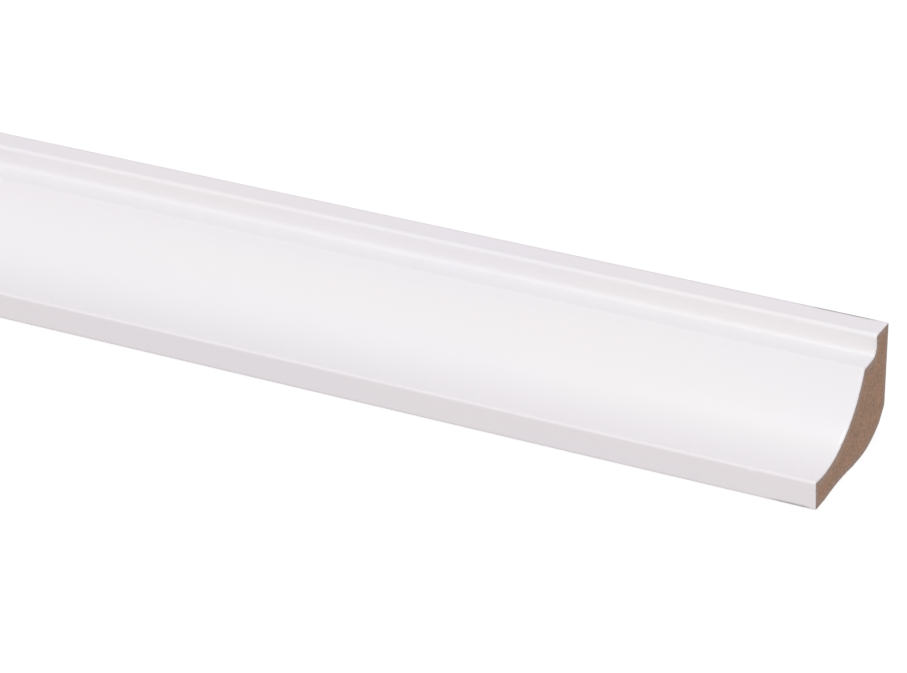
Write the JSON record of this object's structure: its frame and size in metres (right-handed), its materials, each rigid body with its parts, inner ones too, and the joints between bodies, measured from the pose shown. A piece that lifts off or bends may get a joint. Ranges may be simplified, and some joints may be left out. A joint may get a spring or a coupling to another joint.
{
  "type": "crown moulding length",
  "caption": "Straight length of crown moulding: flat top strip, hollow fillet and ledge, wide cove, narrow front strip, cut square at the ends.",
  "frame": {"origin": "on the plane of the ceiling face, under the middle of the length and of the depth", "axes": "+X along the moulding, -Y from the wall face out to the nose, +Z from the ceiling face up to the top strip, as it lies on a bench"},
  "size_m": [0.35, 0.06, 0.04],
  "materials": {
    "white_finish": "thin satin white coat on the show side, ready to paint over",
    "bare_board": "bare medium density fibreboard on the cut ends, the back and the ceiling face"
  },
  "bodies": {
    "root": {"crown_moulding": "white_finish"}
  },
  "joints": []
}
